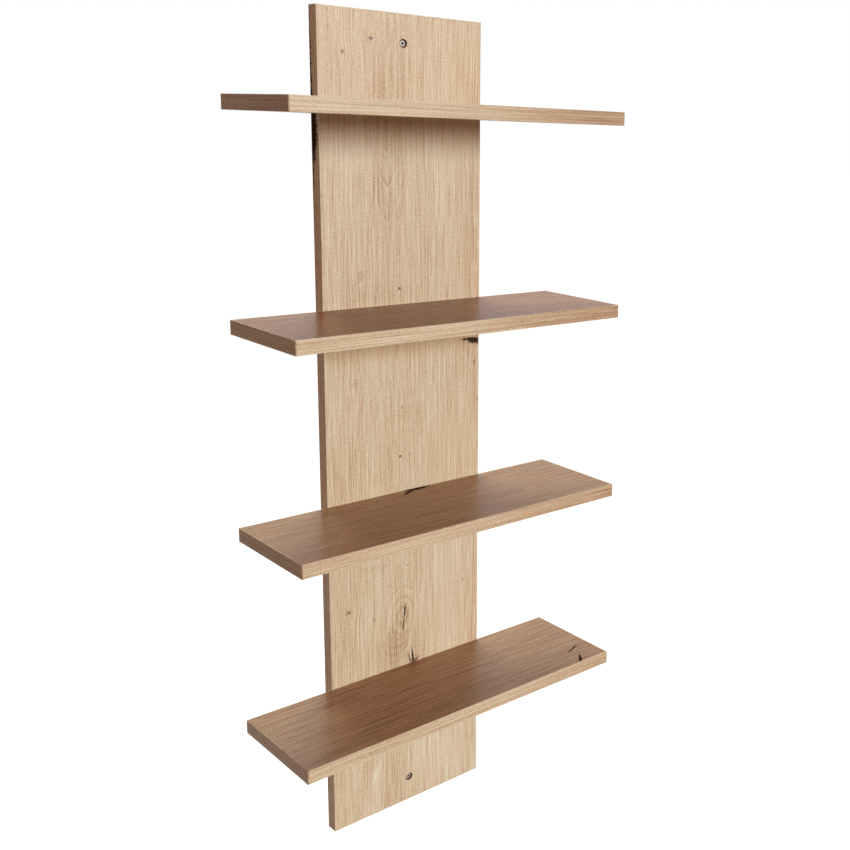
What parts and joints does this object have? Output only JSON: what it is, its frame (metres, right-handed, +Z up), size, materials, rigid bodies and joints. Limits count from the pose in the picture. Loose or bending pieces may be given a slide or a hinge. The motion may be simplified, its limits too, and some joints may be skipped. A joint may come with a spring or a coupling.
{
  "type": "spine bookshelf",
  "caption": "Wall-hung bookshelf: an upright spine board carries horizontal shelf boards on its front face, in pale knotty oak decor with banded edges.",
  "frame": {"origin": "on the wall plane, which is the spine's back face, midway between the two wall screws", "axes": "+Z up along the spine, +X to the right seen from the front, +Y into the wall, so the front faces -Y"},
  "size_m": [0.6, 0.2575, 1.37],
  "materials": {
    "oak_board": "laminated chipboard, satin, pale knotty oak decor",
    "edge_band": "satin edge band in the same oak decor, grain along the edge",
    "screw_steel": "zinc-plated steel, bright, slightly worn in the drive recess",
    "dowel_beech": "plain beech, matt"
  },
  "bodies": {
    "root": {"spine_board": "oak_board", "spine_left_band": "edge_band", "spine_right_band": "edge_band", "spine_top_band": "edge_band", "spine_bottom_band": "edge_band", "upper_wall_screw": "screw_steel", "lower_wall_screw": "screw_steel", "top_shelf_board": "oak_board", "top_shelf_front_band": "edge_band", "top_shelf_back_band": "edge_band", "top_shelf_left_band": "edge_band", "top_shelf_right_band": "edge_band", "top_shelf_screws": "screw_steel", "top_shelf_dowels": "dowel_beech", "upper_shelf_board": "oak_board", "upper_shelf_front_band": "edge_band", "upper_shelf_back_band": "edge_band", "upper_shelf_left_band": "edge_band", "upper_shelf_right_band": "edge_band", "upper_shelf_screws": "screw_steel", "upper_shelf_dowels": "dowel_beech", "lower_shelf_board": "oak_board", "lower_shelf_front_band": "edge_band", "lower_shelf_back_band": "edge_band", "lower_shelf_left_band": "edge_band", "lower_shelf_right_band": "edge_band", "lower_shelf_screws": "screw_steel", "lower_shelf_dowels": "dowel_beech", "bottom_shelf_board": "oak_board", "bottom_shelf_front_band": "edge_band", "bottom_shelf_back_band": "edge_band", "bottom_shelf_left_band": "edge_band", "bottom_shelf_right_band": "edge_band", "bottom_shelf_screws": "screw_steel", "bottom_shelf_dowels": "dowel_beech"}
  },
  "joints": []
}
